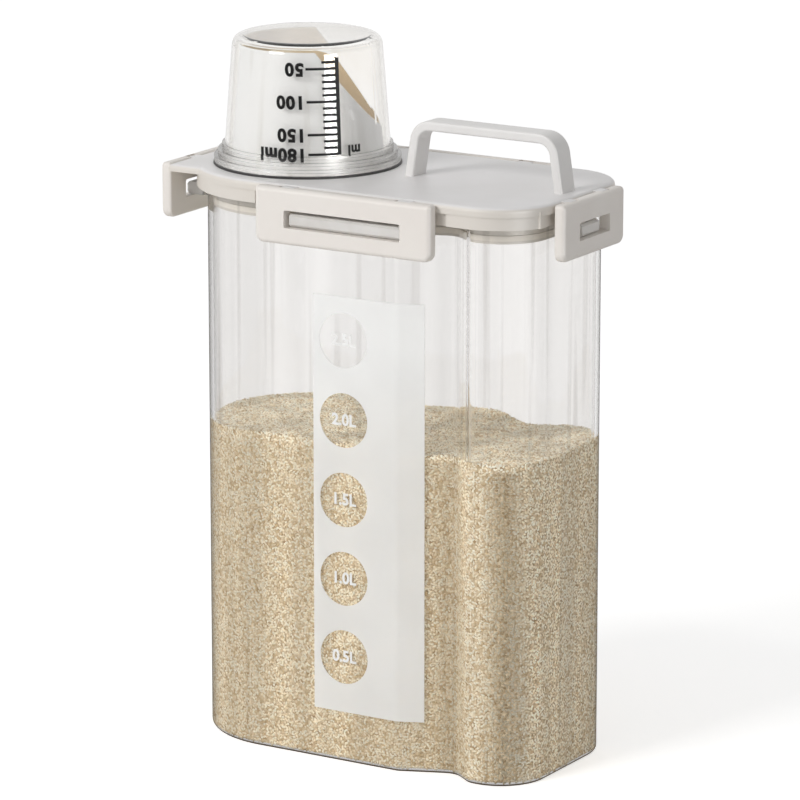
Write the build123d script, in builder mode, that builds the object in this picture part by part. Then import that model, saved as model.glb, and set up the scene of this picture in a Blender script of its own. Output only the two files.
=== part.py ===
from build123d import *
from collections import namedtuple
import os

os.makedirs("parts", exist_ok=True)

# All sizes are in millimetres. +X runs from the pouring end to the handle end,
# the front is -Y, and the container stands on Z = 0.

# Clear container: one end is a full half circle, the other has round corners
body_length = 183.0
body_width = 91.0
body_height = 255.6
wall = 2.2
floor_thickness = 3.0
corner_radius = 23.0
base_edge_radius = 2.5
inner_base_radius = 1.6

# Hand grip pressed into both long sides
grip_depth = 10.2
grip_run = 24.0
grip_rise = 11.5
lobe_flat = 4.0
lobe_inset = 2.0
crest_radius = 6.0
valley_radius = 8.0
lobe_radius = 8.0

# Lid
lid_overhang = 5.25
lid_corner_radius = 29.0
lid_height = 10.1
skirt_wall = 2.4
skirt_drop = 1.0
top_plate = 2.6
lid_edge_radius = 2.2
band_inset = 0.5
band_below_top = 4.4
seat_overlap = 0.2
wing_thickness = 3.4
wing_margin = 3.0

# Plug below the lid, and the ring that seals it
plug_clearance = 0.6
plug_wall = 2.2
plug_depth = 8.6
gasket_height = 2.6
gasket_rise = 1.2
gasket_inset = 1.3
gasket_gap = 0.3
gasket_play = 0.1

# Pouring spout: a tapered tube with a slanted mouth
spout_base_radius = 34.8
spout_top_radius = 30.3
spout_height = 54.8
spout_wall = 1.8
mouth_start = 3.5
mouth_low = 14.5
mouth_turn = 32.0
seal_height = 1.5
seal_groove = 0.6
seal_edge = 0.3
seal_play = 0.1

# Measuring cup, stored upside down over the spout
cup_height = 57.6
cup_wall = 1.6
cup_end_thickness = 2.0
cup_clearance = 1.2
cup_end_clearance = 1.9
cup_corner_radius = 5.0
cup_foot_flare = 1.2
cup_step_width = 1.8
cup_step_height = 2.7
cup_foot_steps = 3
cup_gap = 0.3

# Carrying handle
handle_end_margin = 6.75
handle_length = 81.3
handle_height = 25.8
handle_width = 12.0
handle_thickness = 4.5
handle_flare = 3.7
handle_bend_radius = 8.0
handle_edge_radius = 1.1
tang_width = 8.0
tang_thickness = 3.0
tang_depth = 5.0
tang_clearance = 0.1
tang_wall = 1.8

# Four locking latches
latch_height = 25.6
latch_thickness = 5.5
latch_gap = 1.0
latch_drop = 0.3
long_latch_width = 91.0
long_latch_middle = 7.6
left_latch_width = 69.0
right_latch_width = 54.0
latch_corner_radius = 4.0
latch_top_corner_radius = 1.6
latch_edge_radius = 2.2
slot_height = 8.0
slot_rise = 7.8
slot_corner_radius = 0.8
long_slot_length = 60.0
left_slot_length = 44.0
right_slot_length = 27.0

# Lugs on the container that the latches hook over
lug_reach = 4.2
lug_height = 5.6
lug_clearance = 0.4
lug_chamfer = 1.0
long_lug_length = 57.0
left_lug_length = 32.0
right_lug_length = 15.0

# Latch hinges: knuckles on the lid with a stub at each side
pin_inset = 2.2
pin_below_top = 2.3
pin_radius = 0.9
pin_clearance = 0.06
pin_reach = 0.9
knuckle_radius = 1.8
knuckle_width = 7.0
knuckle_clearance = 0.3
knuckle_room = 0.6
long_knuckle_spacing = 60.0
end_knuckle_spacing = 28.0

# Pocket in the skirt behind each latch
bay_depth = 2.0
bay_margin = 4.0
bay_below_top = 4.6
bay_wall = 2.4

# Frosted label with a row of round windows
label_left = -14.4
label_right = 40.6
label_bottom = 24.0
label_top = 216.0
label_thickness = 0.3
label_gap = 0.05
window_diameter = 25.0
window_x = 1.4
window_first = 49.8
window_pitch = 36.6
window_count = 5

half_length = body_length / 2
half_width = body_width / 2
left_centre = half_width - half_length
rim = body_height
lid_top = rim - skirt_drop + lid_height
skirt_bottom = rim - skirt_drop
plate_bottom = lid_top - top_plate
plug_bottom = rim - plug_depth
spout_top = lid_top + spout_height
cup_x = left_centre
cup_wall_radius = spout_base_radius + cup_clearance + cup_wall
cup_end_radius = spout_top_radius + cup_end_clearance + cup_wall
cup_foot_radius = cup_wall_radius + cup_foot_flare + (cup_foot_steps - 1) * cup_step_width
cup_rim = lid_top + seal_height - seal_groove + cup_gap
seal_outer = cup_foot_radius + seal_edge
seal_inner = cup_foot_radius - cup_wall - seal_edge
lid_end = half_length + lid_overhang
lid_side = half_width + lid_overhang
handle_start = lid_end - handle_end_margin - handle_length
latch_top = lid_top - latch_drop
latch_bottom = latch_top - latch_height
slot_bottom = latch_bottom + slot_rise
pin_z = lid_top - pin_below_top

Side = namedtuple("Side", "name outward middle edge body width slot lug knuckles bay")
sides = [
    Side("front_latch", (0, -1, 0), (long_latch_middle, 0, 0), lid_side, half_width,
         long_latch_width, long_slot_length, long_lug_length, long_knuckle_spacing, True),
    Side("rear_latch", (0, 1, 0), (long_latch_middle, 0, 0), lid_side, half_width,
         long_latch_width, long_slot_length, long_lug_length, long_knuckle_spacing, True),
    Side("left_latch", (-1, 0, 0), (0, 0, 0), lid_end, half_length,
         left_latch_width, left_slot_length, left_lug_length, end_knuckle_spacing, False),
    Side("right_latch", (1, 0, 0), (0, 0, 0), lid_end, half_length,
         right_latch_width, right_slot_length, right_lug_length, end_knuckle_spacing, True),
]


def face_plane(side, reach):
    # Looks at one side of the lid from outside: local x runs along it, local y is up
    outward = Vector(*side.outward)
    return Plane(origin=Vector(*side.middle) + outward * reach,
                 x_dir=Vector(0, 0, 1).cross(outward), z_dir=outward)


def section_plane(side):
    # Cuts one side across: local x runs outward, local y is up
    outward = Vector(*side.outward)
    return Plane(origin=side.middle, x_dir=outward, z_dir=outward.cross(Vector(0, 0, 1)))


def container_outline(grow):
    lobe = half_width - lobe_inset
    lobe_end = half_length - corner_radius - lobe_flat
    valley = lobe_end - grip_rise
    crest = valley - grip_run
    valley_y = half_width - grip_depth
    with BuildSketch() as outline:
        with BuildLine():
            Polyline(
                (left_centre, -half_width), (crest, -half_width), (valley, -valley_y),
                (lobe_end, -lobe), (half_length, -lobe), (half_length, lobe),
                (lobe_end, lobe), (valley, valley_y), (crest, half_width),
                (left_centre, half_width),
            )
            CenterArc((left_centre, 0), half_width, 90, 180)
        make_face()
        radii = {4: corner_radius, 3: lobe_radius, 2: valley_radius, 1: crest_radius}
        for column, radius in radii.items():
            fillet(outline.vertices().group_by(Axis.X)[column], radius)
        if grow:
            offset(amount=grow)
    return outline.sketch


def lid_outline(grow):
    side_y = lid_side + grow
    end_x = lid_end + grow
    with BuildSketch() as outline:
        with BuildLine():
            Polyline((left_centre, -side_y), (end_x, -side_y), (end_x, side_y), (left_centre, side_y))
            CenterArc((left_centre, 0), side_y, 90, 180)
        make_face()
        fillet(outline.vertices().group_by(Axis.X)[-1], lid_corner_radius + grow)
    return outline.sketch


def ring_outline(outer, inner):
    # The band between two offsets of the container's outline
    with BuildSketch() as band:
        add(container_outline(outer))
        add(container_outline(inner), mode=Mode.SUBTRACT)
    return band.sketch


# Container
with BuildPart() as container:
    with BuildSketch():
        add(container_outline(0))
    extrude(amount=body_height)
    fillet(container.faces().sort_by(Axis.Z)[0].edges(), base_edge_radius)
    for side in sides:
        lug_bottom = slot_bottom + lug_clearance
        lug_root = side.body - wall
        lug_tip = side.edge + lug_reach
        with BuildSketch(section_plane(side)) as lug_section:
            with Locations(((lug_root + lug_tip) / 2, lug_bottom + lug_height / 2)):
                Rectangle(lug_tip - lug_root, lug_height)
            chamfer(lug_section.vertices().group_by(Axis.X)[-1], lug_chamfer)
        extrude(amount=side.lug / 2, both=True)
    with BuildSketch(Plane.XY.offset(floor_thickness)):
        add(container_outline(-wall))
    extrude(amount=body_height, mode=Mode.SUBTRACT)
    inner_floor = container.faces().filter_by(Axis.Z).filter_by_position(
        Axis.Z, floor_thickness - 0.01, floor_thickness + 0.01)
    fillet(inner_floor.edges(), inner_base_radius)

# Frosted label
with BuildPart() as volume_label:
    with BuildSketch(Plane.XY.offset(label_bottom)):
        add(ring_outline(label_gap + label_thickness, label_gap))
        label_width = label_right - label_left
        with Locations(((label_left + label_right) / 2, -half_width)):
            Rectangle(label_width, half_width, mode=Mode.INTERSECT)
    extrude(amount=label_top - label_bottom)
    front = Plane(origin=(0, -half_width, 0), x_dir=(1, 0, 0), z_dir=(0, -1, 0))
    with BuildSketch(front):
        for row in range(window_count):
            with Locations((window_x, window_first + row * window_pitch)):
                Circle(window_diameter / 2)
    extrude(amount=wall, both=True, mode=Mode.SUBTRACT)

# Lid, with its skirt, plug, spout and latch knuckles in one moulding
with BuildPart() as lid:
    with BuildSketch(Plane.XY.offset(skirt_bottom)):
        add(lid_outline(0))
    extrude(amount=lid_height)
    wing_width = left_latch_width + 2 * wing_margin
    with BuildSketch(Plane.XY.offset(lid_top - wing_thickness)):
        with Locations(((left_centre - lid_end) / 2, 0)):
            Rectangle(lid_end + left_centre, wing_width)
    extrude(amount=wing_thickness)
    fillet(lid.faces().sort_by(Axis.Z)[-1].outer_wire().edges(), lid_edge_radius)
    with BuildSketch(Plane.XY.offset(skirt_bottom)):
        add(lid_outline(bay_depth))
        add(lid_outline(-band_inset), mode=Mode.SUBTRACT)
    extrude(amount=lid_height - band_below_top, mode=Mode.SUBTRACT)
    with BuildSketch(Plane.XY.offset(skirt_bottom)):
        add(lid_outline(-skirt_wall))
    extrude(amount=plate_bottom - skirt_bottom, mode=Mode.SUBTRACT)

    plug_outer = -wall - plug_clearance
    plug_inner = plug_outer - plug_wall
    with BuildSketch(Plane.XY.offset(rim)):
        add(ring_outline(seat_overlap, plug_inner))
    extrude(amount=plate_bottom - rim)
    with BuildSketch(Plane.XY.offset(plug_bottom)):
        add(ring_outline(plug_outer, plug_inner))
    extrude(amount=plug_depth)
    with BuildSketch(Plane.XY.offset(plug_bottom + gasket_rise)):
        add(ring_outline(plug_outer, plug_outer - gasket_inset))
    extrude(amount=gasket_height, mode=Mode.SUBTRACT)

    for side in sides:
        if side.bay:
            bay_width = side.width + 2 * bay_margin
            bay_top = lid_top - bay_below_top
            with BuildSketch(face_plane(side, side.edge - bay_depth - bay_wall)):
                with Locations((0, (skirt_bottom + plate_bottom) / 2)):
                    Rectangle(bay_width + 2 * bay_wall, plate_bottom - skirt_bottom)
            extrude(amount=bay_wall)
            with BuildSketch(face_plane(side, side.edge - bay_depth)):
                with Locations((0, (skirt_bottom + bay_top) / 2)):
                    Rectangle(bay_width, bay_top - skirt_bottom)
            extrude(amount=bay_depth + wall, mode=Mode.SUBTRACT)
        for place in (-side.knuckles / 2, side.knuckles / 2):
            across = section_plane(side)
            with BuildSketch(across.offset(place)):
                with Locations((side.edge + pin_inset / 2 - skirt_wall / 2, pin_z)):
                    Rectangle(pin_inset + skirt_wall, 2 * knuckle_radius)
                with Locations((side.edge + pin_inset, pin_z)):
                    Circle(knuckle_radius)
            extrude(amount=knuckle_width / 2, both=True)
            with BuildSketch(across.offset(place)):
                with Locations((side.edge + pin_inset, pin_z)):
                    Circle(pin_radius)
            extrude(amount=knuckle_width / 2 + pin_reach, both=True)

    spout_axis = Axis((cup_x, 0, 0), (0, 0, 1))
    through = Plane(origin=(cup_x, 0, 0), x_dir=(1, 0, 0), z_dir=(0, -1, 0))
    with BuildSketch(through):
        with BuildLine():
            Polyline((0, plate_bottom), (spout_base_radius, plate_bottom), (spout_base_radius, lid_top),
                     (spout_top_radius, spout_top), (0, spout_top), close=True)
        make_face()
    revolve(axis=spout_axis)
    with BuildSketch(through):
        with BuildLine():
            Polyline((0, plate_bottom), (spout_base_radius - spout_wall, plate_bottom),
                     (spout_base_radius - spout_wall, lid_top), (spout_top_radius - spout_wall, spout_top),
                     (0, spout_top), close=True)
        make_face()
    revolve(axis=spout_axis, mode=Mode.SUBTRACT)
    mouth_end = spout_base_radius + spout_wall
    mouth_slope = (spout_height - mouth_low) / (spout_base_radius - mouth_start)
    mouth_base = spout_top - mouth_slope * (mouth_end - mouth_start)
    with BuildSketch(through.rotated((0, 0, mouth_turn))):
        with BuildLine():
            Polyline((mouth_start, spout_top), (mouth_end, mouth_base), (mouth_end, spout_top), close=True)
        make_face()
    extrude(amount=2 * spout_base_radius, both=True, mode=Mode.SUBTRACT)

    with BuildSketch(Plane.XY.offset(lid_top)):
        with Locations((cup_x, 0)):
            Circle(seal_outer + seal_play)
            Circle(seal_inner - seal_play, mode=Mode.SUBTRACT)
    extrude(amount=-seal_groove, mode=Mode.SUBTRACT)

    foot_positions = [
        handle_start + handle_thickness / 2,
        handle_start + handle_length - handle_thickness / 2,
    ]
    with BuildSketch(Plane.XY.offset(plate_bottom)):
        for x in foot_positions:
            with Locations((x, 0)):
                Rectangle(tang_thickness + 2 * tang_wall, tang_width + 2 * tang_wall)
    extrude(amount=-(tang_depth + tang_wall - top_plate))
    with BuildSketch(Plane.XY.offset(lid_top)):
        for x in foot_positions:
            with Locations((x, 0)):
                Rectangle(tang_thickness + 2 * tang_clearance, tang_width + 2 * tang_clearance)
    extrude(amount=-(tang_depth + tang_clearance), mode=Mode.SUBTRACT)

# Sealing ring in the plug's groove
with BuildPart() as lid_gasket:
    with BuildSketch(Plane.XY.offset(plug_bottom + gasket_rise + gasket_play)):
        add(ring_outline(-wall - gasket_gap, plug_outer - gasket_inset + gasket_play))
    extrude(amount=gasket_height - 2 * gasket_play)

# Dark sealing ring in the lid that the cup's rim stands over
with BuildPart() as spout_seal:
    with BuildSketch(Plane.XY.offset(lid_top - seal_groove)):
        with Locations((cup_x, 0)):
            Circle(seal_outer)
            Circle(seal_inner, mode=Mode.SUBTRACT)
    extrude(amount=seal_height)
    fillet(spout_seal.faces().sort_by(Axis.Z)[-1].edges(), seal_edge)

# Measuring cup
with BuildPart() as measuring_cup:
    foot_height = cup_foot_steps * cup_step_height
    slope = (cup_wall_radius - cup_end_radius) / (cup_height - foot_height)
    with BuildSketch(through) as cup_section:
        with BuildLine():
            steps = []
            for step in range(cup_foot_steps):
                radius = cup_foot_radius - step * cup_step_width
                steps.append((radius, cup_rim + step * cup_step_height))
                steps.append((radius, cup_rim + (step + 1) * cup_step_height))
            Polyline(
                (0, cup_rim), *steps, (cup_wall_radius, cup_rim + foot_height),
                (cup_end_radius, cup_rim + cup_height), (0, cup_rim + cup_height), close=True,
            )
        make_face()
        rim_corner = cup_section.vertices().sort_by(Axis.Y)[-2:].sort_by(Axis.X)[-1]
        fillet(rim_corner, cup_corner_radius)
    revolve(axis=spout_axis)
    with BuildSketch(through) as bore_section:
        with BuildLine():
            steps = []
            for step in range(cup_foot_steps):
                radius = cup_foot_radius - step * cup_step_width - cup_wall
                steps.append((radius, cup_rim + max(0, step * cup_step_height - cup_wall)))
                steps.append((radius, cup_rim + (step + 1) * cup_step_height - cup_wall))
            bore_top = cup_rim + cup_height - cup_end_thickness
            Polyline(
                (0, cup_rim), *steps, (cup_wall_radius - cup_wall, cup_rim + foot_height - cup_wall),
                (cup_end_radius - cup_wall, bore_top), (0, bore_top), close=True,
            )
        make_face()
        bore_corner = bore_section.vertices().sort_by(Axis.Y)[-2:].sort_by(Axis.X)[-1]
        fillet(bore_corner, cup_corner_radius - cup_wall)
    revolve(axis=spout_axis, mode=Mode.SUBTRACT)

# Carrying handle: a flat strip bent into an arch
with BuildPart() as carry_handle:
    half_strip = handle_thickness / 2
    left_foot = handle_start + half_strip
    right_foot = handle_start + handle_length - half_strip
    bar_z = lid_top + handle_height - half_strip
    with BuildSketch(Plane.XZ):
        with BuildLine() as spine:
            FilletPolyline(
                (left_foot - handle_flare * handle_thickness / handle_height, lid_top - handle_thickness),
                (left_foot + handle_flare, bar_z),
                (right_foot - handle_flare, bar_z),
                (right_foot + handle_flare * handle_thickness / handle_height, lid_top - handle_thickness),
                radius=handle_bend_radius,
            )
        trace(spine.line, line_width=handle_thickness)
    extrude(amount=handle_width / 2, both=True)
    split(bisect_by=Plane.XY.offset(lid_top), keep=Keep.TOP)
    soft_edges = carry_handle.edges().filter_by(lambda edge: edge.bounding_box().size.Y < 0.01)
    soft_edges = soft_edges.filter_by_position(Axis.Z, lid_top + 0.01, lid_top + 2 * handle_height)
    fillet(soft_edges, handle_edge_radius)
    with BuildSketch(Plane.XY.offset(lid_top)):
        for x in foot_positions:
            with Locations((x, 0)):
                Rectangle(tang_thickness, tang_width)
    extrude(amount=-tang_depth)


def make_latch(side):
    inner = side.edge + latch_gap
    outer = inner + latch_thickness
    axis_reach = side.edge + pin_inset
    outward = Axis(side.middle, side.outward)
    with BuildPart() as latch:
        with BuildSketch(face_plane(side, inner)) as flap:
            with Locations((0, (latch_top + latch_bottom) / 2)):
                Rectangle(side.width, latch_height)
            fillet(flap.vertices().group_by(Axis.Y)[0], latch_corner_radius)
            fillet(flap.vertices().group_by(Axis.Y)[-1], latch_top_corner_radius)
        extrude(amount=latch_thickness)
        outer_edges = latch.faces().sort_by(outward)[-1].edges().sort_by(Axis.Z)
        fillet(outer_edges[-1], latch_edge_radius)
        inner_edges = latch.faces().sort_by(outward)[0].edges().sort_by(Axis.Z)
        fillet(inner_edges[-1], latch_gap + 0.2)
        with BuildSketch(face_plane(side, inner)) as slot:
            with Locations((0, slot_bottom + slot_height / 2)):
                RectangleRounded(side.slot, slot_height, slot_corner_radius)
        extrude(amount=latch_thickness, mode=Mode.SUBTRACT)
        room = knuckle_width + 2 * knuckle_clearance
        for place in (-side.knuckles / 2, side.knuckles / 2):
            across = section_plane(side).offset(place)
            with BuildSketch(across):
                with BuildLine():
                    Polyline(
                        (inner, pin_z - knuckle_radius - knuckle_room),
                        (axis_reach + knuckle_radius + knuckle_room, pin_z - knuckle_radius - knuckle_room),
                        (axis_reach + knuckle_radius + knuckle_room, latch_top),
                        (inner, latch_top), close=True,
                    )
                make_face()
            extrude(amount=room / 2, both=True, mode=Mode.SUBTRACT)
            with BuildSketch(across):
                with Locations((axis_reach, pin_z)):
                    Circle(pin_radius + pin_clearance)
            extrude(amount=room / 2 + pin_reach, both=True, mode=Mode.SUBTRACT)
    latch.part.label = side.name
    return latch.part


container.part.label = "container"
volume_label.part.label = "volume_label"
lid.part.label = "lid"
lid_gasket.part.label = "lid_gasket"
spout_seal.part.label = "spout_seal"
measuring_cup.part.label = "measuring_cup"
carry_handle.part.label = "carry_handle"

pieces = [container.part, volume_label.part, lid.part, lid_gasket.part, spout_seal.part,
          measuring_cup.part, carry_handle.part]
pieces += [make_latch(side) for side in sides]
for piece in pieces:
    export_step(piece, f"parts/{piece.label}.step")
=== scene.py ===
import math
import bmesh
import bpy
from mathutils import Matrix, Vector, noise


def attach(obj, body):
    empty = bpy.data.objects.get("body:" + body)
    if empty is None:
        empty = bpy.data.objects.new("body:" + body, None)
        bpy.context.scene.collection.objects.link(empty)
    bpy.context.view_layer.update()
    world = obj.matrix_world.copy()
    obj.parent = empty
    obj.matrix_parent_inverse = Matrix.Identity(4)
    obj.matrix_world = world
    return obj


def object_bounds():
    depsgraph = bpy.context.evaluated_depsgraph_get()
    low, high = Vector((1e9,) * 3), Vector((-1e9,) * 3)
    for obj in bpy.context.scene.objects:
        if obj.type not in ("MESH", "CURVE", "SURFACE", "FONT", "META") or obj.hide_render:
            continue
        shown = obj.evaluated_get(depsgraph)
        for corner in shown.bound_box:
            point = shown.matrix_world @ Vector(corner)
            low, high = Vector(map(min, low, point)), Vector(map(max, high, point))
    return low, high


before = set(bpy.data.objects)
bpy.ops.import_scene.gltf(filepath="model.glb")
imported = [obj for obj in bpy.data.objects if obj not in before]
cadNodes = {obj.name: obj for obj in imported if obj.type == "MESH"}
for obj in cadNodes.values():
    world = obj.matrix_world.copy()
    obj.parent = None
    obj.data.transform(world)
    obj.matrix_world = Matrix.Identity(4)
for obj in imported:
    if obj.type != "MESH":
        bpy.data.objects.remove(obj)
cadLow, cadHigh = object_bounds()
mm = 0.001
mergeReach = 1e-6  # metres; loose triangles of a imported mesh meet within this
print("frame loaded:", len(cadNodes), "solids")


def tone(red, green, blue):  # 0 to 255 as seen, made linear
    def straight(value):
        value /= 255
        return value / 12.92 if value <= 0.04045 else ((value + 0.055) / 1.055) ** 2.4
    return (straight(red), straight(green), straight(blue), 1.0)


white = (1, 1, 1, 1)


def addNode(tree, kind, inputs=None, **settings):
    node = tree.nodes.new(kind)
    for name, value in settings.items():
        setattr(node, name, value)
    for name, value in (inputs or {}).items():
        if isinstance(value, bpy.types.NodeSocket):
            tree.links.new(value, node.inputs[name])
        else:
            node.inputs[name].default_value = value
    return node


# short ways to the nodes that most materials need; each gives back a socket

def objectPlace(tree):
    return addNode(tree, "ShaderNodeTexCoord").outputs["Object"]


def axesOf(tree, place):
    return addNode(tree, "ShaderNodeSeparateXYZ", {"Vector": place}).outputs


def drawnOut(tree, place, down):  # patterns on it run down in columns
    return addNode(tree, "ShaderNodeMapping", {
        "Vector": place, "Scale": (1.0, 1.0, down)}).outputs["Vector"]


def noiseOn(tree, place, scale, detail):
    return addNode(tree, "ShaderNodeTexNoise", {
        "Vector": place, "Scale": scale, "Detail": detail}).outputs["Fac"]


def fade(tree, value, start, end, low=0.0, high=1.0):
    return addNode(tree, "ShaderNodeMapRange", {
        "Value": value, "From Min": start, "From Max": end,
        "To Min": low, "To Max": high}).outputs["Result"]


def compute(tree, operation, *values):
    return addNode(tree, "ShaderNodeMath", dict(enumerate(values)), operation=operation).outputs[0]


def mixColors(tree, share, first, second, blend="MIX"):
    return addNode(tree, "ShaderNodeMix", {0: share, 6: first, 7: second},
                   data_type="RGBA", blend_type=blend).outputs[2]


# shared effects

flowLook = {"stretch": 0.02, "lineFrom": 0.66, "lineTo": 0.74, "hazeScale": 35.0}
noiseSpread = (0.38, 0.62)  # most of a noise lies between these


def newGroup(name, values):
    group = bpy.data.node_groups.new(name, "ShaderNodeTree")
    for label, value in values.items():
        kind = "NodeSocketFloat" if isinstance(value, float) else "NodeSocketColor"
        socket = group.interface.new_socket(name=label, in_out="INPUT", socket_type=kind)
        socket.default_value = value
    for label in ("Color", "Roughness", "Height"):
        kind = "NodeSocketColor" if label == "Color" else "NodeSocketFloat"
        group.interface.new_socket(name=label, in_out="OUTPUT", socket_type=kind)
    return group, group.nodes.new("NodeGroupInput").outputs


def finishGroup(group, color, roughness, height):
    addNode(group, "NodeGroupOutput", {"Color": color, "Roughness": roughness, "Height": height})


def makeMouldedGroup():
    group, given = newGroup("mouldedPlastic", {
        "Color": (0.7, 0.7, 0.7, 1), "Shade": (0.6, 0.6, 0.6, 1), "Patch Scale": 22.0,
        "Grain Scale": 1500.0, "Gloss Change": 0.1, "Roughness": 0.4})
    place = objectPlace(group)
    patch = noiseOn(group, place, given["Patch Scale"], 3.0)
    grain = noiseOn(group, place, given["Grain Scale"], 2.0)
    paint = mixColors(group, fade(group, patch, *noiseSpread), given["Color"], given["Shade"])
    centred = compute(group, "SUBTRACT", patch, 0.5)
    change = compute(group, "MULTIPLY_ADD", centred, given["Gloss Change"], given["Roughness"])
    finishGroup(group, paint, change, grain)
    return group


def makeClearGroup():
    group, given = newGroup("clearFlow", {
        "Color": white, "Tint": (0.95, 0.95, 0.95, 1), "Line": (0.8, 0.8, 0.8, 1),
        "Streak Scale": 60.0, "Line Scale": 200.0, "Haze": 0.03})
    place = objectPlace(group)
    drawn = drawnOut(group, place, flowLook["stretch"])
    streak = noiseOn(group, drawn, given["Streak Scale"], 2.0)
    thin = noiseOn(group, drawn, given["Line Scale"], 0.0)
    smear = noiseOn(group, place, flowLook["hazeScale"], 4.0)
    paint = mixColors(group, fade(group, streak, *noiseSpread), given["Color"], given["Tint"])
    crest = fade(group, thin, flowLook["lineFrom"], flowLook["lineTo"])
    lined = mixColors(group, crest, paint, given["Line"])
    finishGroup(group, lined, compute(group, "MULTIPLY", smear, given["Haze"]), streak)
    return group


mouldedPlastic = makeMouldedGroup()
clearFlow = makeClearGroup()


def newMaterial(name, **sockets):
    material = bpy.data.materials.new(name)
    material.use_nodes = True
    tree = material.node_tree
    shader = tree.nodes["Principled BSDF"]
    for label, value in sockets.items():
        shader.inputs[label.replace("_", " ")].default_value = value
    return material, tree, shader


def addHeight(tree, shader, height, strength, distance):
    bump = addNode(tree, "ShaderNodeBump", {
        "Height": height, "Strength": strength, "Distance": distance * mm})
    tree.links.new(bump.outputs["Normal"], shader.inputs["Normal"])


def finishShader(tree, shader, effect, look):
    tree.links.new(effect.outputs["Roughness"], shader.inputs["Roughness"])
    addHeight(tree, shader, effect.outputs["Height"], look["relief"], look["depth"])


# for every moulded piece, where its own dictionary says nothing else
mouldedLook = {"ior": 1.5, "glossChange": 0.12, "depth": 0.05}


def plasticMaterial(name, look, **sockets):
    look = {**mouldedLook, **look}
    material, tree, shader = newMaterial(name, IOR=look["ior"], **sockets)
    effect = addNode(tree, "ShaderNodeGroup", {
        "Color": tone(*look["color"]), "Shade": tone(*look["shade"]),
        "Patch Scale": look["patch"], "Grain Scale": look["grain"],
        "Roughness": look["roughness"], "Gloss Change": look["glossChange"]},
        node_tree=mouldedPlastic)
    tree.links.new(effect.outputs["Color"], shader.inputs["Base Color"])
    finishShader(tree, shader, effect, look)
    return material


# rays that the mask picks go straight through, as light does through thin plastic
def letThrough(tree, shader, mask, color):
    through = addNode(tree, "ShaderNodeBsdfTransparent", {"Color": color})
    both = addNode(tree, "ShaderNodeMixShader", {
        0: mask, 1: shader.outputs[0], 2: through.outputs[0]})
    tree.links.new(both.outputs[0], tree.nodes["Material Output"].inputs["Surface"])


def clearMaterial(name, look):
    material, tree, shader = newMaterial(name, IOR=look["ior"], Transmission_Weight=1.0)
    effect = addNode(tree, "ShaderNodeGroup", {
        "Color": tone(*look["color"]), "Tint": tone(*look["tint"]), "Line": tone(*look["line"]),
        "Streak Scale": look["streak"], "Line Scale": look["lines"], "Haze": look["haze"]},
        node_tree=clearFlow)
    # painted shade: near its outline the wall is seen edge on, and its colour is darkened there
    facing = addNode(tree, "ShaderNodeLayerWeight", {"Blend": 0.5}).outputs["Facing"]
    near = fade(tree, facing, look["edgeFrom"], look["edgeTo"])
    paint = mixColors(tree, near, effect.outputs["Color"], tone(*look["edge"]))
    tree.links.new(paint, shader.inputs["Base Color"])
    finishShader(tree, shader, effect, look)
    path = addNode(tree, "ShaderNodeLightPath").outputs
    lampRay = compute(tree, "MAXIMUM", path["Is Shadow Ray"], path["Is Diffuse Ray"])
    letThrough(tree, shader, lampRay, tone(*look["lamp"]))
    return material


# what feeds an input of the material's shader so far, for a mix to build on
def flowInto(material, label):
    socket = material.node_tree.nodes["Principled BSDF"].inputs[label]
    return socket, socket.links[0].from_socket


def tintWhere(material, mask, color):
    socket, flow = flowInto(material, "Base Color")
    tree = material.node_tree
    tree.links.new(mixColors(tree, mask, flow, color), socket)


def roughenWhere(material, mask, roughness):
    socket, flow = flowInto(material, "Roughness")
    tree = material.node_tree
    rough = addNode(tree, "ShaderNodeMix", {0: mask, 2: flow, 3: roughness}, data_type="FLOAT")
    tree.links.new(rough.outputs[0], socket)


def dress(name, material):
    piece = cadNodes[name]
    if not piece.material_slots:
        piece.data.materials.append(material)
    for slot in piece.material_slots:
        slot.material = material


# new objects

def newObject(name, data):
    thing = bpy.data.objects.new(name, data)
    bpy.context.scene.collection.objects.link(thing)
    return thing


def meshObject(name, shape):
    mesh = bpy.data.meshes.new(name)
    shape.to_mesh(mesh)
    shape.free()
    return newObject(name, mesh)


def newPiece(name, shape, material, body):
    piece = meshObject(name, shape)
    piece.data.materials.append(material)
    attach(piece, body)


# the mesh of letters or of a modifier's result
def finishedMesh(thing):
    bpy.context.view_layer.update()
    return bpy.data.meshes.new_from_object(
        thing.evaluated_get(bpy.context.evaluated_depsgraph_get()))


def containerCopy():
    shape = bmesh.new()
    shape.from_mesh(cadNodes["container"].data)
    bmesh.ops.remove_doubles(shape, verts=shape.verts, dist=mergeReach)
    return shape


def cutPlane(shape, place, way, **settings):
    bmesh.ops.bisect_plane(shape, geom=shape.verts[:] + shape.edges[:] + shape.faces[:],
                           plane_co=place, plane_no=way, **settings)


# container

# edge is painted shade near the wall's outline; base is painted shade low in the thick base
clearLook = {"color": (247, 246, 245), "tint": (237, 236, 235), "line": (220, 218, 216),
             "edge": (112, 109, 106), "edgeFrom": 0.62, "edgeTo": 0.92, "ior": 1.46,
             "streak": 55.0, "lines": 210.0, "haze": 0.04, "relief": 0.05, "depth": 0.8,
             "lamp": (254, 254, 253), "base": (48, 38, 26), "baseTop": 3.2, "baseFull": 0.8,
             "frostX": 92.1, "frostY": 46.1, "frost": 0.55}


# the lugs under the rim are matt: rough beyond the container's own walls
def frostLugs(material):
    tree = material.node_tree
    parts = axesOf(tree, objectPlace(tree))
    beyond = [compute(tree, "GREATER_THAN", compute(tree, "ABSOLUTE", parts[axis]), reach * mm)
              for axis, reach in (("X", clearLook["frostX"]), ("Y", clearLook["frostY"]))]
    roughenWhere(material, compute(tree, "MAXIMUM", *beyond), clearLook["frost"])
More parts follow.
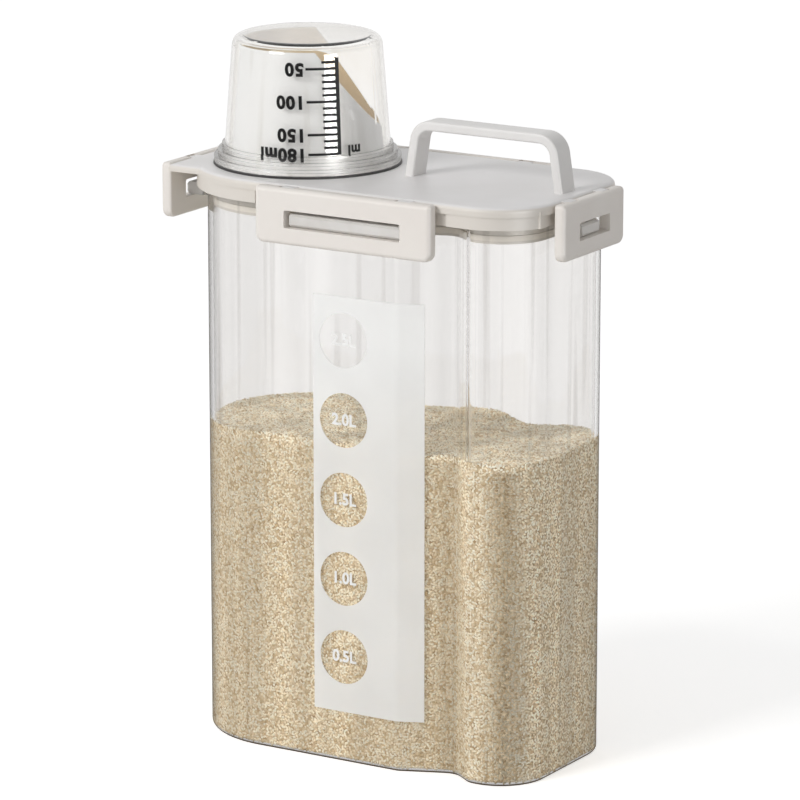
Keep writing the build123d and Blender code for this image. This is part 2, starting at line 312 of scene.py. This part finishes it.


# painted shade: the thick base is coloured a deep brown near the floor, for the shadow where it
# stands and for the food seen through it
def paintBaseShade(material):
    tree = material.node_tree
    height = axesOf(tree, objectPlace(tree))["Z"]
    low = fade(tree, height, clearLook["baseTop"] * mm, clearLook["baseFull"] * mm)
    tintWhere(material, low, tone(*clearLook["base"]))


container = clearMaterial("containerClear", clearLook)
frostLugs(container)
paintBaseShade(container)
dress("container", container)

# cup

# edge is painted shade near the cup wall's outline
cupLook = {"color": (252, 251, 249), "tint": (248, 246, 243), "line": (242, 240, 236),
           "edge": (180, 176, 171), "edgeFrom": 0.5, "edgeTo": 0.95, "ior": 1.46,
           "streak": 45.0, "lines": 180.0, "haze": 0.03, "relief": 0.01, "depth": 0.8,
           "lamp": (254, 254, 253), "footTop": 273.4, "footRough": 0.2}


# the stepped foot is a little matt
def softFoot(material):
    tree = material.node_tree
    height = axesOf(tree, objectPlace(tree))["Z"]
    foot = compute(tree, "LESS_THAN", height, cupLook["footTop"] * mm)
    roughenWhere(material, foot, cupLook["footRough"])


cup = clearMaterial("cupClear", cupLook)
softFoot(cup)
dress("measuring_cup", cup)
print("clear pieces dressed")

# lid, with the spout that it carries

lidLook = {"color": (232, 230, 230), "shade": (227, 225, 224), "patch": 20.0, "grain": 1400.0,
           "roughness": 0.42, "relief": 0.2, "skirt": (216, 210, 202), "skirtTop": 263.4,
           "skirtFade": 0.8}
# color and shade are painted shade inside the spout; outside is painted light on its outer face
spoutLook = {"color": (226, 207, 174), "shade": (212, 191, 158), "warmShadeNoise": 60.0,
             "outside": (236, 236, 237), "middleX": -46.0, "base": 264.7, "middle": 33.9,
             "slope": 0.0819, "foot": 265.2, "reach": 40.0}


def lidMaterial():
    material = plasticMaterial("lidPlastic", lidLook)
    tree = material.node_tree
    place = objectPlace(tree)
    centred = addNode(tree, "ShaderNodeMapping", {
        "Vector": place, "Location": (-spoutLook["middleX"] * mm, 0, 0)})
    parts = axesOf(tree, centred.outputs["Vector"])
    height = parts["Z"]
    # painted shade: the lid's side, under its edge, is coloured darker and warmer than its top,
    # for the light that falls on it there
    skirtTop = lidLook["skirtTop"]
    below = fade(tree, height, (skirtTop + lidLook["skirtFade"]) * mm, skirtTop * mm)
    tintWhere(material, below, tone(*lidLook["skirt"]))
    # painted light: the spout's outer face is coloured a lighter grey than the rest of the lid
    flat = addNode(tree, "ShaderNodeCombineXYZ", {"X": parts["X"], "Y": parts["Y"]})
    radius = addNode(tree, "ShaderNodeVectorMath", {0: flat.outputs[0]},
                     operation="LENGTH").outputs["Value"]
    high = compute(tree, "GREATER_THAN", height, spoutLook["foot"] * mm)
    near = compute(tree, "LESS_THAN", radius, spoutLook["reach"] * mm)
    tintWhere(material, compute(tree, "MULTIPLY", high, near), tone(*spoutLook["outside"]))
    # and painted shade in a warmer tone inside, for the light the food sends up into it, within
    # the middle of its leaning wall
    above = compute(tree, "SUBTRACT", height, spoutLook["base"] * mm)
    wall = compute(tree, "MULTIPLY_ADD", above, -spoutLook["slope"], spoutLook["middle"] * mm)
    inside = compute(tree, "LESS_THAN", radius, wall)
    warmShadeNoise = noiseOn(tree, place, spoutLook["warmShadeNoise"], 4.0)
    warmShade = mixColors(tree, warmShadeNoise, tone(*spoutLook["color"]), tone(*spoutLook["shade"]))
    tintWhere(material, inside, warmShade)
    return material


dress("lid", lidMaterial())

# latches, handle and seals

latchLook = {"color": (230, 225, 219), "shade": (227, 221, 215), "patch": 26.0, "grain": 1500.0,
             "roughness": 0.45, "relief": 0.22}
handleLook = {"color": (230, 228, 226), "shade": (224, 222, 220), "patch": 24.0,
              "grain": 1500.0, "roughness": 0.42, "relief": 0.22}
gasketLook = {"color": (243, 237, 228), "shade": (234, 227, 217), "patch": 40.0, "grain": 900.0,
              "roughness": 0.55, "relief": 0.3}
# the seal under the cup's foot is near black, and draws a dark line beneath the foot
rimSealLook = {"color": (46, 44, 44), "shade": (36, 34, 34), "patch": 40.0, "grain": 900.0,
               "roughness": 0.5, "relief": 0.3}

latchPlastic = plasticMaterial("latchPlastic", latchLook)
for latch in ("front_latch", "rear_latch", "left_latch", "right_latch"):
    dress(latch, latchPlastic)
dress("carry_handle", plasticMaterial("handlePlastic", handleLook))
dress("lid_gasket", plasticMaterial("lidSealRubber", gasketLook))
dress("spout_seal", plasticMaterial("rimSealRubber", rimSealLook))
print("lid, latches, handle and seals dressed")

# label film

labelLook = {"color": (248, 248, 247), "shade": (244, 244, 243), "patch": 30.0, "grain": 900.0,
             "roughness": 0.46, "relief": 0.3, "glossChange": 0.1, "ior": 1.35, "see": 0.48,
             "lightThrough": 0.44}


# frosted film spreads light, but stops little of it
def labelMaterial():
    material = plasticMaterial("labelFilm", labelLook, Transmission_Weight=labelLook["see"])
    tree = material.node_tree
    shadow = addNode(tree, "ShaderNodeLightPath").outputs["Is Shadow Ray"]
    share = compute(tree, "MULTIPLY", shadow, labelLook["lightThrough"])
    letThrough(tree, tree.nodes["Principled BSDF"], share, white)
    return material


dress("volume_label", labelMaterial())

# the lugs' own faces, frosted by the mould: a skin just outside the container's

lugLook = {"color": (244, 242, 239), "shade": (236, 233, 229), "patch": 60.0, "grain": 1600.0,
           "roughness": 0.55, "relief": 0.4, "see": 0.3, "fromX": 93.0, "fromY": 47.0,
           "skin": 0.04}


def makeLugFaces():
    shape = containerCopy()
    for axis, reach in (((1, 0, 0), lugLook["fromX"]), ((0, 1, 0), lugLook["fromY"])):
        for side in (-1, 1):
            way = Vector(axis) * side
            cutPlane(shape, way * reach * mm, way)
    away = [face for face in shape.faces
            if abs(face.calc_center_median().x) < lugLook["fromX"] * mm
            and abs(face.calc_center_median().y) < lugLook["fromY"] * mm]
    bmesh.ops.delete(shape, geom=away, context="FACES")
    bmesh.ops.holes_fill(shape, edges=shape.edges, sides=0)
    bmesh.ops.recalc_face_normals(shape, faces=shape.faces)
    for vert in shape.verts:
        vert.co += vert.normal * lugLook["skin"] * mm
    print("lug faces:", len(shape.faces))
    frost = plasticMaterial("lugFrost", lugLook, Transmission_Weight=lugLook["see"])
    newPiece("lug_faces", shape, frost, "container")


makeLugFaces()

# lettering: litre numbers in the label's windows, millilitre scale on the cup

inkLook = {"patch": 90.0, "grain": 1200.0, "roughness": 0.5, "relief": 0.1, "specular": 0.15}
letterLook = {"depth": 0.06, "figureHeight": 0.72, "curveSteps": 4}  # height as a share of size
numberLook = {"x": 1.4, "lowest": 49.8, "step": 36.6, "height": 5.3, "weight": 0.22,
              "wall": -45.5, "count": 5, "litres": 0.5, "color": (243, 243, 242),
              "shade": (236, 235, 233)}
upright = Matrix.Rotation(math.radians(90), 4, "X")  # from lying flat to the XZ plane
upsideDown = Matrix.Rotation(math.radians(180), 4, "Z")


def inkMaterial(name, look):
    return plasticMaterial(name, {**inkLook, "color": look["color"], "shade": look["shade"]},
                           Specular_IOR_Level=inkLook["specular"])


# words with some thickness, added to the shape
def addWords(shape, words, height, place, align="CENTER", weight=0.0, space=1.0):
    curve = bpy.data.curves.new("words", "FONT")
    curve.body = words
    curve.size = height / letterLook["figureHeight"] * mm
    curve.space_character = space
    curve.extrude = letterLook["depth"] * mm
    curve.offset = weight * mm
    curve.resolution_u = letterLook["curveSteps"]
    curve.align_x = align
    curve.align_y = "CENTER"
    letters = newObject("words", curve)
    mesh = finishedMesh(letters)
    mesh.transform(place)
    shape.from_mesh(mesh)
    bpy.data.objects.remove(letters)
    bpy.data.curves.remove(curve)
    bpy.data.meshes.remove(mesh)


def makeWindowNumbers():
    shape = bmesh.new()
    look = numberLook
    for index in range(look["count"]):
        z = look["lowest"] + look["step"] * index
        words = "%.1fL" % (look["litres"] * (index + 1))
        spot = Vector((look["x"], look["wall"] - letterLook["depth"], z)) * mm
        addWords(shape, words, look["height"], Matrix.Translation(spot) @ upright,
                 weight=look["weight"])
    newPiece("window_numbers", shape, inkMaterial("whiteInk", look), "container")


# lengths in mm; a mark every 10 ml, a long one with its number every 50 ml and at the last
scaleLook = {"turn": -35.3, "first": 317.9, "last": 274.9, "past": 0.4, "empty": 327.6,
             "perTen": 2.93, "tens": (4, 18), "longEvery": 5, "long": 14.3, "short": 7.1,
             "line": 1.1, "lineDepth": 0.14, "bold": 1.7, "boldDepth": 0.16,
             "height": 5.7, "weight": 0.36, "space": 1.12, "gap": 0.8,
             "unitAt": 10.8, "unitUp": 1.2, "unitHeight": 4.6, "unitWeight": 0.26,
             "unitSpace": 1.1, "middleX": -46.0, "wall": 37.6, "wallAt": 274.0,
             "slope": 0.0768, "lift": 0.04, "columns": (-42, 12), "merge": 0.005,
             "color": (12, 12, 13), "shade": (24, 23, 23)}


def addBar(shape, left, right, low, high, depth):
    made = bmesh.ops.create_cube(shape, size=1.0)["verts"]
    bmesh.ops.scale(shape, vec=Vector((right - left, depth, high - low)), verts=made)
    bmesh.ops.translate(shape, vec=Vector(((left + right) / 2, 0, (low + high) / 2)), verts=made)


# drawn flat in millimetres, then wrapped on the cup's cone
def makeCupScale():
    shape = bmesh.new()
    look = scaleLook
    turned = upright @ upsideDown @ Matrix.Scale(1 / mm, 4)
    addBar(shape, -look["bold"] / 2, look["bold"] / 2, look["last"] - look["past"],
           look["first"], look["boldDepth"])
    fromTens, lastTens = look["tens"]
    for tens in range(fromTens, lastTens + 1):
        z = look["empty"] - look["perTen"] * tens
        isLong = tens % look["longEvery"] == 0 or tens == lastTens
        run = look["long"] if isLong else look["short"]
        addBar(shape, -run, 0, z - look["line"] / 2, z + look["line"] / 2, look["lineDepth"])
        if isLong:
            words = "%d" % (tens * 10) + ("ml" if tens == lastTens else "")
            spot = Vector((-look["long"] - look["gap"], 0, z))
            addWords(shape, words, look["height"], Matrix.Translation(spot) @ turned,
                     "LEFT", weight=look["weight"], space=look["space"])
    spot = Vector((look["unitAt"], 0, look["last"] + look["unitUp"]))
    addWords(shape, "ml", look["unitHeight"], Matrix.Translation(spot) @ turned,
             "LEFT", weight=look["unitWeight"], space=look["unitSpace"])
    bmesh.ops.remove_doubles(shape, verts=shape.verts, dist=look["merge"])
    for column in range(*look["columns"]):  # fine enough to bend
        cutPlane(shape, (column, 0, 0), (1, 0, 0))
    for vert in shape.verts:
        across, out, z = vert.co
        radius = look["wall"] - (z - look["wallAt"]) * look["slope"]
        turn = math.radians(look["turn"]) + across / radius
        reach = radius + look["lift"] - out
        spot = Vector((look["middleX"] + reach * math.cos(turn), reach * math.sin(turn), z))
        vert.co = spot * mm
    newPiece("cup_scale", shape, inkMaterial("blackInk", look), "cup")


makeWindowNumbers()
makeCupScale()
print("lettering made")

# food: a body with a wavy top, and grains on its faces
# its outline is spread a little into the clear wall, so that no gap shows

foodLook = {"cutAt": 62.0, "startX": 99, "startY": -43.3, "startBias": 4,
            "spread": (1.0039, 1.0081), "bottom": 2.0, "top": 147.5, "surface": 1,
            "step": 7, "stepsX": 13, "stepsY": 6, "wave": 2.6, "swell": 22, "layer": 3.7,
            "outlineMerge": 1e-5, "color": (244, 227, 197), "shade": (168, 140, 100),
            "cells": 520.0, "relief": 0.8, "depth": 0.6}


# the edges of the container's inner wall at one height
def innerOutline():
    shape = containerCopy()
    cutPlane(shape, (0, 0, foodLook["cutAt"] * mm), (0, 0, 1), clear_inner=True, clear_outer=True)
    bmesh.ops.remove_doubles(shape, verts=shape.verts, dist=foodLook["outlineMerge"])

    # start at a place on the inner wall; Y counts most, since the outer wall runs beside it
    def offBy(vert):
        return (abs(vert.co.x - cadLow.x - foodLook["startX"] * mm)
                + abs(vert.co.y - foodLook["startY"] * mm) * foodLook["startBias"])

    start = min(shape.verts, key=offBy)
    kept = {start}
    edge = [start]
    while edge:
        vert = edge.pop()
        for link in vert.link_edges:
            other = link.other_vert(vert)
            if other not in kept:
                kept.add(other)
                edge.append(other)
    away = [vert for vert in shape.verts if vert not in kept]
    bmesh.ops.delete(shape, geom=away, context="VERTS")
    return shape


# extruding leaves the side faces in another order each run, and the grains follow that order
def settleOrder(shape):
    shape.verts.index_update()
    for items in (shape.edges, shape.faces):
        inOrder = sorted(items, key=lambda item: sorted(vert.index for vert in item.verts))
        for rank, item in enumerate(inOrder):
            item.index = rank
        items.sort()


def makeFoodBody():
    shape = innerOutline()
    look = foodLook
    bmesh.ops.scale(shape, vec=Vector((*look["spread"], 1)), verts=shape.verts)
    down = Vector((0, 0, (look["bottom"] - look["cutAt"]) * mm))
    bmesh.ops.translate(shape, vec=down, verts=shape.verts)
    bmesh.ops.triangle_fill(shape, use_beauty=True, edges=shape.edges)
    raised = bmesh.ops.extrude_face_region(shape, geom=shape.faces[:])["geom"]
    top = [item for item in raised if isinstance(item, bmesh.types.BMVert)]
    rise = Vector((0, 0, (look["top"] - look["bottom"]) * mm))
    bmesh.ops.translate(shape, vec=rise, verts=top)
    settleOrder(shape)
    for step in range(-look["stepsX"], look["stepsX"] + 1):
        cutPlane(shape, (step * look["step"] * mm, 0, 0), (1, 0, 0))
    for step in range(-look["stepsY"], look["stepsY"] + 1):
        cutPlane(shape, (0, step * look["step"] * mm, 0), (0, 1, 0))
    for vert in shape.verts:
        if vert.co.z > (look["top"] - look["surface"]) * mm:
            x, y = vert.co.x * look["swell"], vert.co.y * look["swell"]
            vert.co.z += noise.noise(Vector((x, y, look["layer"]))) * look["wave"] * mm
    bmesh.ops.recalc_face_normals(shape, faces=shape.faces)
    return shape


def foodMaterial():
    material, tree, shader = newMaterial("foodBody", Roughness=0.85)
    cells = addNode(tree, "ShaderNodeTexVoronoi", {
        "Vector": objectPlace(tree), "Scale": foodLook["cells"]}).outputs["Distance"]
    paint = mixColors(tree, cells, tone(*foodLook["color"]), tone(*foodLook["shade"]))
    tree.links.new(paint, shader.inputs["Base Color"])
    addHeight(tree, shader, cells, foodLook["relief"], foodLook["depth"])
    return material


# grains; shadeBands pairs an X with how much light is painted there, along the walls
grainLook = {"length": 2.1, "width": 1.2, "thickness": 1.15, "spread": 0.3, "tilt": 0.5,
             "turn": 6.283, "spacing": 1.0, "density": 4400000, "seed": 11, "seedStep": 10,
             "pieces": 9, "cuts": (-72, -51, -28, -5, 18, 38, 57, 76), "underside": -0.9,
             "light": (254, 250, 235), "middle": (253, 241, 217), "middleAt": 0.4,
             "dark": (214, 190, 152), "husk": 1100.0, "huskFade": (0.35, 0.65, 0.82, 1.04),
             "stretch": 0.06, "column": 75.0, "shadeColumnFade": (0.36, 0.64, 0.88, 1.12),
             "lift": 1.16, "shadeBands": ((38, 0.85), (49, 0.7), (66, 1.0), (81, 0.5), (89, 1.0)),
             "warmShade": (1.0, 1.1, 1.3), "topLevel": 0.97, "topFrom": 143.5, "topTo": 146.0,
             "relief": 0.5, "depth": 0.2}


# painted shade: darker in the hollow of the grip and before the corner, painted light on the rib
# between them
def paintedGripShade(tree, place):
    parts = axesOf(tree, place)
    first, last = grainLook["shadeBands"][0][0], grainLook["shadeBands"][-1][0]
    along = fade(tree, parts["X"], first * mm, last * mm)
    ramp = addNode(tree, "ShaderNodeValToRGB", {"Fac": along})
    stops = ramp.color_ramp.elements
    for x, level in grainLook["shadeBands"]:
        if x == first:
            stop = stops[0]
        elif x == last:
            stop = stops[-1]
        else:
            stop = stops.new((x - first) / (last - first))
        stop.color = [level ** power for power in grainLook["warmShade"]] + [1.0]
    # the top surface has no painted shading along X
    onTop = fade(tree, parts["Z"], grainLook["topFrom"] * mm, grainLook["topTo"] * mm)
    return mixColors(tree, onTop, ramp.outputs["Color"], [grainLook["topLevel"]] * 3 + [1.0])


def grainMaterial():
    material, tree, shader = newMaterial("foodGrain", Roughness=0.7, Specular_IOR_Level=0.3)
    look = grainLook
    place = objectPlace(tree)
    own = addNode(tree, "ShaderNodeAttribute", attribute_name="grainTone")
    ramp = addNode(tree, "ShaderNodeValToRGB", {"Fac": own.outputs["Fac"]})
    stops = ramp.color_ramp.elements
    stops[0].color = tone(*look["dark"])
    stops[1].color = tone(*look["light"])
    stops.new(look["middleAt"]).color = tone(*look["middle"])
    speckle = noiseOn(tree, place, look["husk"], 2.0)
    husk = fade(tree, speckle, *look["huskFade"])
    # painted light and shade: columns a little lighter and darker down the walls
    paintedColumns = noiseOn(tree, drawnOut(tree, place, look["stretch"]), look["column"], 2.0)
    column = fade(tree, paintedColumns, *look["shadeColumnFade"])
    shade = compute(tree, "MULTIPLY", compute(tree, "MULTIPLY", husk, column), look["lift"])
    paint = mixColors(tree, 1.0, ramp.outputs["Color"], shade, "MULTIPLY")
    gripShaded = mixColors(tree, 1.0, paint, paintedGripShade(tree, place), "MULTIPLY")
    tree.links.new(gripShaded, shader.inputs["Base Color"])
    addHeight(tree, shader, speckle, look["relief"], look["depth"])
    return material


# points on the faces, a grain on each, made real
def scatterTree(seed):
    tree = bpy.data.node_groups.new("grainScatter", "GeometryNodeTree")
    for way in ("INPUT", "OUTPUT"):
        tree.interface.new_socket(name="Geometry", in_out=way, socket_type="NodeSocketGeometry")
    start = tree.nodes.new("NodeGroupInput")
    points = addNode(tree, "GeometryNodeDistributePointsOnFaces", {
        "Mesh": start.outputs[0], "Distance Min": grainLook["spacing"] * mm,
        "Density Max": grainLook["density"], "Seed": seed}, distribute_method="POISSON")
    grain = addNode(tree, "GeometryNodeMeshIcoSphere", {"Radius": 0.5, "Subdivisions": 1})
    tilt = grainLook["tilt"]
    spin = addNode(tree, "FunctionNodeRandomValue", {
        0: (-tilt, -tilt, 0.0), 1: (tilt, tilt, grainLook["turn"]), "Seed": seed + 1},
        data_type="FLOAT_VECTOR")
    asRotation = addNode(tree, "FunctionNodeEulerToRotation", {"Euler": spin.outputs[0]})
    turned = addNode(tree, "FunctionNodeRotateRotation", {
        0: points.outputs["Rotation"], 1: asRotation.outputs[0]}, rotation_space="LOCAL")
    wide = Vector((grainLook["length"], grainLook["width"], grainLook["thickness"])) * mm
    size = addNode(tree, "FunctionNodeRandomValue", {
        0: wide * (1 - grainLook["spread"]), 1: wide * (1 + grainLook["spread"] / 2),
        "Seed": seed + 2}, data_type="FLOAT_VECTOR")
    placed = addNode(tree, "GeometryNodeInstanceOnPoints", {
        "Points": points.outputs["Points"], "Instance": grain.outputs["Mesh"],
        "Rotation": turned.outputs[0], "Scale": size.outputs[0]})
    shade = addNode(tree, "FunctionNodeRandomValue", {"Seed": seed + 3}, data_type="FLOAT")
    stored = addNode(tree, "GeometryNodeStoreNamedAttribute", {
        "Geometry": placed.outputs[0], "Name": "grainTone"}, data_type="FLOAT", domain="INSTANCE")
    # of the sockets for each kind of value, only the one in use is enabled
    value = [socket for socket in stored.inputs if socket.name == "Value" and socket.enabled][0]
    tree.links.new([socket for socket in shade.outputs if socket.enabled][0], value)
    real = addNode(tree, "GeometryNodeRealizeInstances", {"Geometry": stored.outputs[0]})
    smooth = addNode(tree, "GeometryNodeSetShadeSmooth", {"Geometry": real.outputs[0]})
    addNode(tree, "NodeGroupOutput", {0: smooth.outputs[0]})
    return tree


# the grains are cut along X, so that each piece stays a fair size
def makeFood():
    body = makeFoodBody()
    grains = grainMaterial()
    edges = [-1.0] + [side * mm for side in grainLook["cuts"]] + [1.0]
    for index in range(grainLook["pieces"]):
        part = body.copy()
        away = [face for face in part.faces
                if not edges[index] < face.calc_center_median().x <= edges[index + 1]
                or face.normal.z < grainLook["underside"]]
        bmesh.ops.delete(part, geom=away, context="FACES")
        bed = meshObject("grainBed", part)
        scatter = bed.modifiers.new("scatter", "NODES")
        scatter.node_group = scatterTree(grainLook["seed"] + grainLook["seedStep"] * index)
        real = finishedMesh(bed)
        bpy.data.objects.remove(bed)
        real.name = "food_grains_%d" % (index + 1)
        real.materials.clear()
        real.materials.append(grains)
        piece = newObject(real.name, real)
        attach(piece, "container")
        print(real.name, len(real.polygons), "faces")
    newPiece("food_body", body, foodMaterial(), "container")


makeFood()
print("food made")

# floor, light, camera

stageLook = {"size": 8.0, "floor": (247, 247, 247), "glow": 0.46, "air": 0.48}
keyLook = {"from": (-0.3, -0.8, 0.46), "distance": 3.0, "size": 1.1, "power": 42.5}
fillLook = {"from": (-0.35, 0.8, 0.5), "distance": 3.0, "size": 2.2, "power": 4.5}
lampAim = 0.16  # metres above the floor
stripLook = {"turn": -23.5, "distance": 1.5, "width": 0.55, "height": 0.5, "bottom": 0.1,
             "power": 20.0}
cardLook = {"radius": 1.5, "lift": 0.0002, "corners": 64, "color": (128, 126, 123)}
viewLook = {"azimuth": 31.496, "pitch": 13.751, "distance": 2288.0, "lens": 227.28,
            "sensor": 36.0, "target": (2.111, 1.293, 159.3)}


# 1 for rays that show the stage, also in and through the object; 0 for light on its surfaces
def showingRays(tree):
    path = addNode(tree, "ShaderNodeLightPath").outputs
    direct = compute(tree, "MAXIMUM", path["Is Camera Ray"], path["Is Glossy Ray"])
    return compute(tree, "MAXIMUM", direct, path["Is Transmission Ray"])


def makeFloor():
    shape = bmesh.new()
    bmesh.ops.create_grid(shape, x_segments=2, y_segments=2, size=stageLook["size"])
    floor = meshObject("floor", shape)
    material, tree, shader = newMaterial(
        "floorPaper", Roughness=0.9, Specular_IOR_Level=0.1,
        Base_Color=tone(*stageLook["floor"]), Emission_Color=white)
    glow = compute(tree, "MULTIPLY", showingRays(tree), stageLook["glow"])
    tree.links.new(glow, shader.inputs["Emission Strength"])
    floor.data.materials.append(material)


def makeAir():
    world = bpy.data.worlds.new("studioAir")
    world.use_nodes = True
    tree = world.node_tree
    back = tree.nodes["Background"]
    back.inputs["Color"].default_value = white
    level = fade(tree, showingRays(tree), 0.0, 1.0, stageLook["air"], 1.0)
    tree.links.new(level, back.inputs["Strength"])
    bpy.context.scene.world = world


# dark card round the foot, seen only in reflections, for a clear outline
def makeCard():
    shape = bmesh.new()
    bmesh.ops.create_circle(shape, cap_ends=True, segments=cardLook["corners"],
                            radius=cardLook["radius"])
    bmesh.ops.translate(shape, vec=Vector((0, 0, cardLook["lift"])), verts=shape.verts)
    card = meshObject("darkCard", shape)
    paper = newMaterial("cardPaper", Base_Color=tone(*cardLook["color"]), Roughness=1.0)[0]
    card.data.materials.append(paper)
    card.visible_camera = card.visible_diffuse = False
    card.visible_transmission = card.visible_shadow = False


def newLamp(name, power, **settings):
    light = bpy.data.lights.new(name, "AREA")
    light.energy = power
    for label, value in settings.items():
        setattr(light, label, value)
    return newObject(name, light)


def makeLamp(name, look):
    lamp = newLamp(name, look["power"], shape="SQUARE", size=look["size"])
    way = Vector(look["from"]).normalized()
    lamp.location = way * look["distance"] + Vector((0, 0, lampAim))
    lamp.rotation_euler = way.to_track_quat("Z", "Y").to_euler()
    return lamp


# tall card of light, seen only in reflections
def makeStrip(name, look):
    lamp = newLamp(name, look["power"], shape="RECTANGLE", size=look["width"],
                   size_y=look["height"])
    turn = math.radians(look["turn"])
    lamp.location = (look["distance"] * math.cos(turn), look["distance"] * math.sin(turn),
                     look["bottom"] + look["height"] / 2)
    lamp.rotation_euler = (math.pi / 2, 0, turn + math.pi / 2)
    lamp.visible_camera = lamp.visible_diffuse = lamp.visible_transmission = False


def makeCamera():
    view = bpy.data.cameras.new("camera")
    view.lens = viewLook["lens"]
    view.sensor_width = viewLook["sensor"]
    camera = newObject("camera", view)
    turn, pitch = math.radians(viewLook["azimuth"]), math.radians(viewLook["pitch"])
    back = Vector((math.sin(turn) * math.cos(pitch), -math.cos(turn) * math.cos(pitch),
                   math.sin(pitch)))
    camera.location = (Vector(viewLook["target"]) + back * viewLook["distance"]) * mm
    camera.rotation_euler = (math.pi / 2 - pitch, 0, turn)
    bpy.context.scene.camera = camera


makeFloor()
makeAir()
makeLamp("softKey", keyLook)
fill = makeLamp("backFill", fillLook)
fill.visible_camera = fill.visible_glossy = fill.visible_transmission = False
makeCard()
makeStrip("wallStrip", stripLook)
makeCamera()
bpy.context.scene.view_settings.view_transform = "Standard"
print("scene ready")
